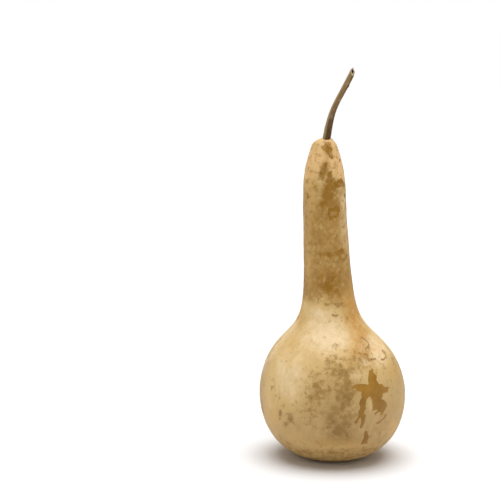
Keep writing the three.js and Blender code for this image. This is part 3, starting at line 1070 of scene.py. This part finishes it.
def stalk_material(settings):
    """Dry woody stalk: dull weathered fibres that run along it, dark in the furrows and pale on the ridges.

    Its texture coordinates are the places in millimetres that its points had while it was still straight, so
    the fibres bend with it. They are drawn about 0.8 mm wide, which is as fine as the picture shows.
    """
    material, tree, surface = new_material("dry_woody_stalk")
    straight = add_node(tree, "Attribute", result="Vector", attribute_name="straight")
    along = add_node(tree, "SeparateXYZ", {"Vector": straight}, result="Z")
    across = add_node(tree, "SeparateXYZ", {"Vector": straight}, result="X")
    drawn_out = add_node(tree, "Mapping", {"Vector": straight, "Scale": (1, 1, 0.04)})
    fibre = {"Vector": drawn_out, "Scale": 1 / 0.8, "Detail": 4, "Roughness": 0.6}
    fibre = add_node(tree, "TexNoise", fibre)
    drawn_out = add_node(tree, "Mapping", {"Vector": straight, "Scale": (1, 1, 0.05)})
    stripe = add_node(tree, "TexNoise", {"Vector": drawn_out, "Scale": 1 / 2.2, "Detail": 3})
    blotch = add_node(tree, "TexNoise", {"Vector": straight, "Scale": 1 / 5.0, "Detail": 4})

    # Colours laid over the bark, from the lowest up: the low third, painted shade on the right-hand (+X)
    # side, furrows, patches, a painted highlight on the left-hand (-X) side, and raised fibres. Each has a
    # value where it starts, one where it is full, and a strength.
    colour = tuple(settings.bark)
    for source, start, full, strength, tint in (
        (along, 44.0, 14.0, 0.85, settings.dark_bark_and_shade),
        (across, 0.4, 2.4, 0.5, settings.dark_bark_and_shade),
        (stripe, 0.54, 0.38, 0.5, settings.dark_bark_and_shade),
        (blotch, 0.52, 0.7, 0.4, settings.pale_fibre_and_highlight),
        (across, -0.7, -2.6, 0.6, settings.pale_fibre_and_highlight),
        (fibre, 0.55, 0.75, 0.4, settings.pale_fibre_and_highlight),
    ):
        span = {"Value": source, "From Min": start, "From Max": full, "To Max": strength}
        over = {0: add_node(tree, "MapRange", span), 6: colour, 7: tuple(tint)}
        colour = add_node(tree, "Mix", over, result=2, data_type="RGBA")

    # The slanting cut, and the pith open in its middle
    for name, tint in (("cut", settings.cut), ("pith", settings.pith)):
        mask = add_node(tree, "Attribute", result="Fac", attribute_name=name)
        colour = add_node(tree, "Mix", {0: mask, 6: colour, 7: tuple(tint)}, result=2, data_type="RGBA")

    height = add_node(tree, "Math", {0: fibre, 1: 0.35, 2: stripe}, operation="MULTIPLY_ADD")
    bump = add_node(tree, "Bump", {"Height": height, "Distance": 0.35 * MM})
    span = {"Value": fibre, "From Min": 0.3, "From Max": 0.7, "To Min": 0.66, "To Max": 0.85}
    roughness = add_node(tree, "MapRange", span)
    looks = {"Base Color": colour, "Roughness": roughness, "Specular IOR Level": 0.3, "Normal": bump}
    tree.links.new(add_node(tree, "BsdfPrincipled", looks), surface)
    return material


class GOURD_OT_stalk(bpy.types.Operator):
    """Builds the dry, ridged, bent stalk."""

    bl_idname = "gourd.stalk"
    bl_label = "Build the stalk"

    def execute(self, context):
        settings = context.scene.gourd_stalk
        length = stalk_line()[1][-1]
        mesh = spun(stalk_outline(length, settings), STALK_AROUND)
        straight = np.array(shape_stalk(mesh, settings.radius / MM))
        stalk = finished("dry_stalk", mesh, stalk_material(settings), foot_centre())
        write_values(stalk, "straight", straight, "FLOAT_VECTOR", "vector")
        radius = np.hypot(straight[:, 0], straight[:, 1])
        cut = (straight[:, 2] > length - 0.35) & (radius < settings.radius / MM - 0.1)
        pith = (straight[:, 2] > length - STALK_PITH_DEPTH - 1) & (radius < STALK_PITH_RADIUS + 0.05)
        write_values(stalk, "cut", cut)
        write_values(stalk, "pith", pith)
        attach(stalk, "root")
        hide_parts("stalk")
        return {"FINISHED"}


# Pixel of the picture, across and down, where the middle of the gourd's foot falls, and the width of the
# camera's sensor in millimetres
FOOT_PIXEL = (331.8, 454.0)
SENSOR = 36.0

# Way that the overhead light shines, and the size of the floor in metres
OVERHEAD_AIM = (-0.03, -0.02, -1)
FLOOR_RADIUS = 6


def floor_material(settings):
    """Matt white paper sweep: an even pale floor with no reflection of its own."""
    material, tree, surface = new_material("white_paper_floor")
    tree.links.new(add_node(tree, "BsdfDiffuse", {"Color": tuple(settings.floor)}), surface)
    return material


def add_light(name, towards, strength, spread):
    """Adds a broad far-off light that shines along a direction, so the whole floor is lit alike."""
    data = bpy.data.lights.new(name, "SUN")
    data.energy = strength
    data.angle = spread
    light = new_object(name, data)
    light.location = (0, 0, 1)
    light.rotation_euler = Vector(towards).to_track_quat("-Z", "Y").to_euler()


def add_camera(settings):
    """Adds the camera so that the middle of the foot falls on its pixel of the picture."""
    focal = PICTURE_SIDE * settings.lens / SENSOR
    tilt = settings.camera_tilt
    depth = settings.camera_distance
    forward = Vector((0, math.cos(tilt), -math.sin(tilt)))
    upward = Vector((0, math.sin(tilt), math.cos(tilt)))
    middle = PICTURE_SIDE / 2
    across = (FOOT_PIXEL[0] - middle) * depth / focal
    rise = (middle - FOOT_PIXEL[1]) * depth / focal
    data = bpy.data.cameras.new("camera")
    data.lens = settings.lens
    data.sensor_width = SENSOR
    data.clip_end = 100
    camera = new_object("camera", data)
    camera.location = foot_centre() - Vector((across, 0, 0)) - upward * rise - forward * depth
    camera.rotation_euler = (math.pi / 2 - tilt, 0, 0)
    bpy.context.scene.camera = camera


class GOURD_OT_stage(bpy.types.Operator):
    """Builds the floor, the lights and the camera."""

    bl_idname = "gourd.stage"
    bl_label = "Build the studio"

    def execute(self, context):
        scene = context.scene
        settings = scene.gourd_stage
        mesh = bmesh.new()
        bmesh.ops.create_circle(mesh, cap_ends=True, segments=128, radius=FLOOR_RADIUS)
        data = bpy.data.meshes.new("studio_floor")
        mesh.to_mesh(data)
        mesh.free()
        data.materials.append(floor_material(settings))
        floor = new_object("studio_floor", data)
        add_light("overhead_light", OVERHEAD_AIM, settings.key_strength, settings.key_spread)
        world = bpy.data.worlds.new("white_studio")
        world.use_nodes = True
        tree = world.node_tree
        background = tree.nodes["Background"]
        seen = add_node(tree, "LightPath", result="Is Camera Ray")
        strength = {"Value": seen, "To Min": settings.fill_strength, "To Max": 1.0}
        tree.links.new(add_node(tree, "MapRange", strength), background.inputs["Strength"])
        background.inputs["Color"].default_value = (1, 1, 1, 1)
        scene.world = world
        scene.view_settings.view_transform = "Standard"
        add_camera(settings)
        return {"FINISHED"}


class GOURD_PT_panel(bpy.types.Panel):
    """Lists the gourd's settings and steps in the sidebar."""

    bl_idname = "GOURD_PT_panel"
    bl_label = "Dried gourd"
    bl_space_type = "VIEW_3D"
    bl_region_type = "UI"
    bl_category = "Gourd"

    def draw(self, context):
        for name, operators in (
            ("gourd_rind", ("gourd.rind", "gourd.peels")),
            ("gourd_stalk", ("gourd.stalk",)),
            ("gourd_stage", ("gourd.stage",)),
        ):
            settings = getattr(context.scene, name)
            box = self.layout.box()
            for key in settings.__annotations__:
                box.prop(settings, key)
            for operator in operators:
                box.operator(operator)


SETTINGS = (
    ("gourd_rind", GourdRindSettings),
    ("gourd_stalk", GourdStalkSettings),
    ("gourd_stage", GourdStageSettings),
)
CLASSES = (GOURD_OT_rind, GOURD_OT_peels, GOURD_OT_stalk, GOURD_OT_stage, GOURD_PT_panel)


def register():
    for name, group in SETTINGS:
        bpy.utils.register_class(group)
        setattr(bpy.types.Scene, name, bpy.props.PointerProperty(type=group))
    for kind in CLASSES:
        bpy.utils.register_class(kind)


def unregister():
    for kind in reversed(CLASSES):
        bpy.utils.unregister_class(kind)
    for name, group in reversed(SETTINGS):
        delattr(bpy.types.Scene, name)
        bpy.utils.unregister_class(group)


def main():
    register()
    bpy.ops.gourd.rind()
    bpy.ops.gourd.peels()
    bpy.ops.gourd.stalk()
    bpy.ops.gourd.stage()


if __name__ == "__main__":
    main()
